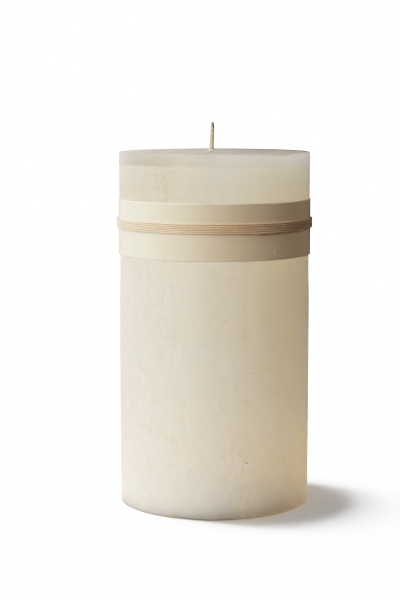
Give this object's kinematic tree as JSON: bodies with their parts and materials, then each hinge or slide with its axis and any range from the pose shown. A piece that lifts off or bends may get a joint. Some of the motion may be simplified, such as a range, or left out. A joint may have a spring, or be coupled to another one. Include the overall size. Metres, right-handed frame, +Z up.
{
  "type": "unity candle",
  "caption": "Round ivory pillar candle with a braided wick, a cream ribbon round its upper third and a thin tan cord wound round the ribbon.",
  "frame": {"origin": "middle of the base, on the surface that the candle stands on", "axes": "+Z up along the pillar, -Y towards the front, where the ribbon shows no seam, +X to the front's right"},
  "size_m": [0.0848, 0.0864, 0.1646],
  "materials": {
    "wax": "satin",
    "wick_cotton": "matte",
    "sustainer_metal": "satin",
    "ribbon": "satin",
    "tape": "satin",
    "cord": "satin"
  },
  "bodies": {
    "candle": {"wax_pillar": "wax", "wick": "wick_cotton", "wick_sustainer": "sustainer_metal"},
    "ribbon": {"ribbon_band": "ribbon", "ribbon_tape": "tape"},
    "cord": {"cord_winding": "cord", "cord_knot": "cord"}
  },
  "joints": [
    {"name": "ribbon_slide", "type": "slide", "parent": "candle", "child": "ribbon", "axis": [0, 0, 1], "range_m": [-0.102, 0.06]},
    {"name": "cord_slide", "type": "slide", "parent": "ribbon", "child": "cord", "axis": [0, 0, 1], "range_m": [-0.01, 0.007]}
  ]
}
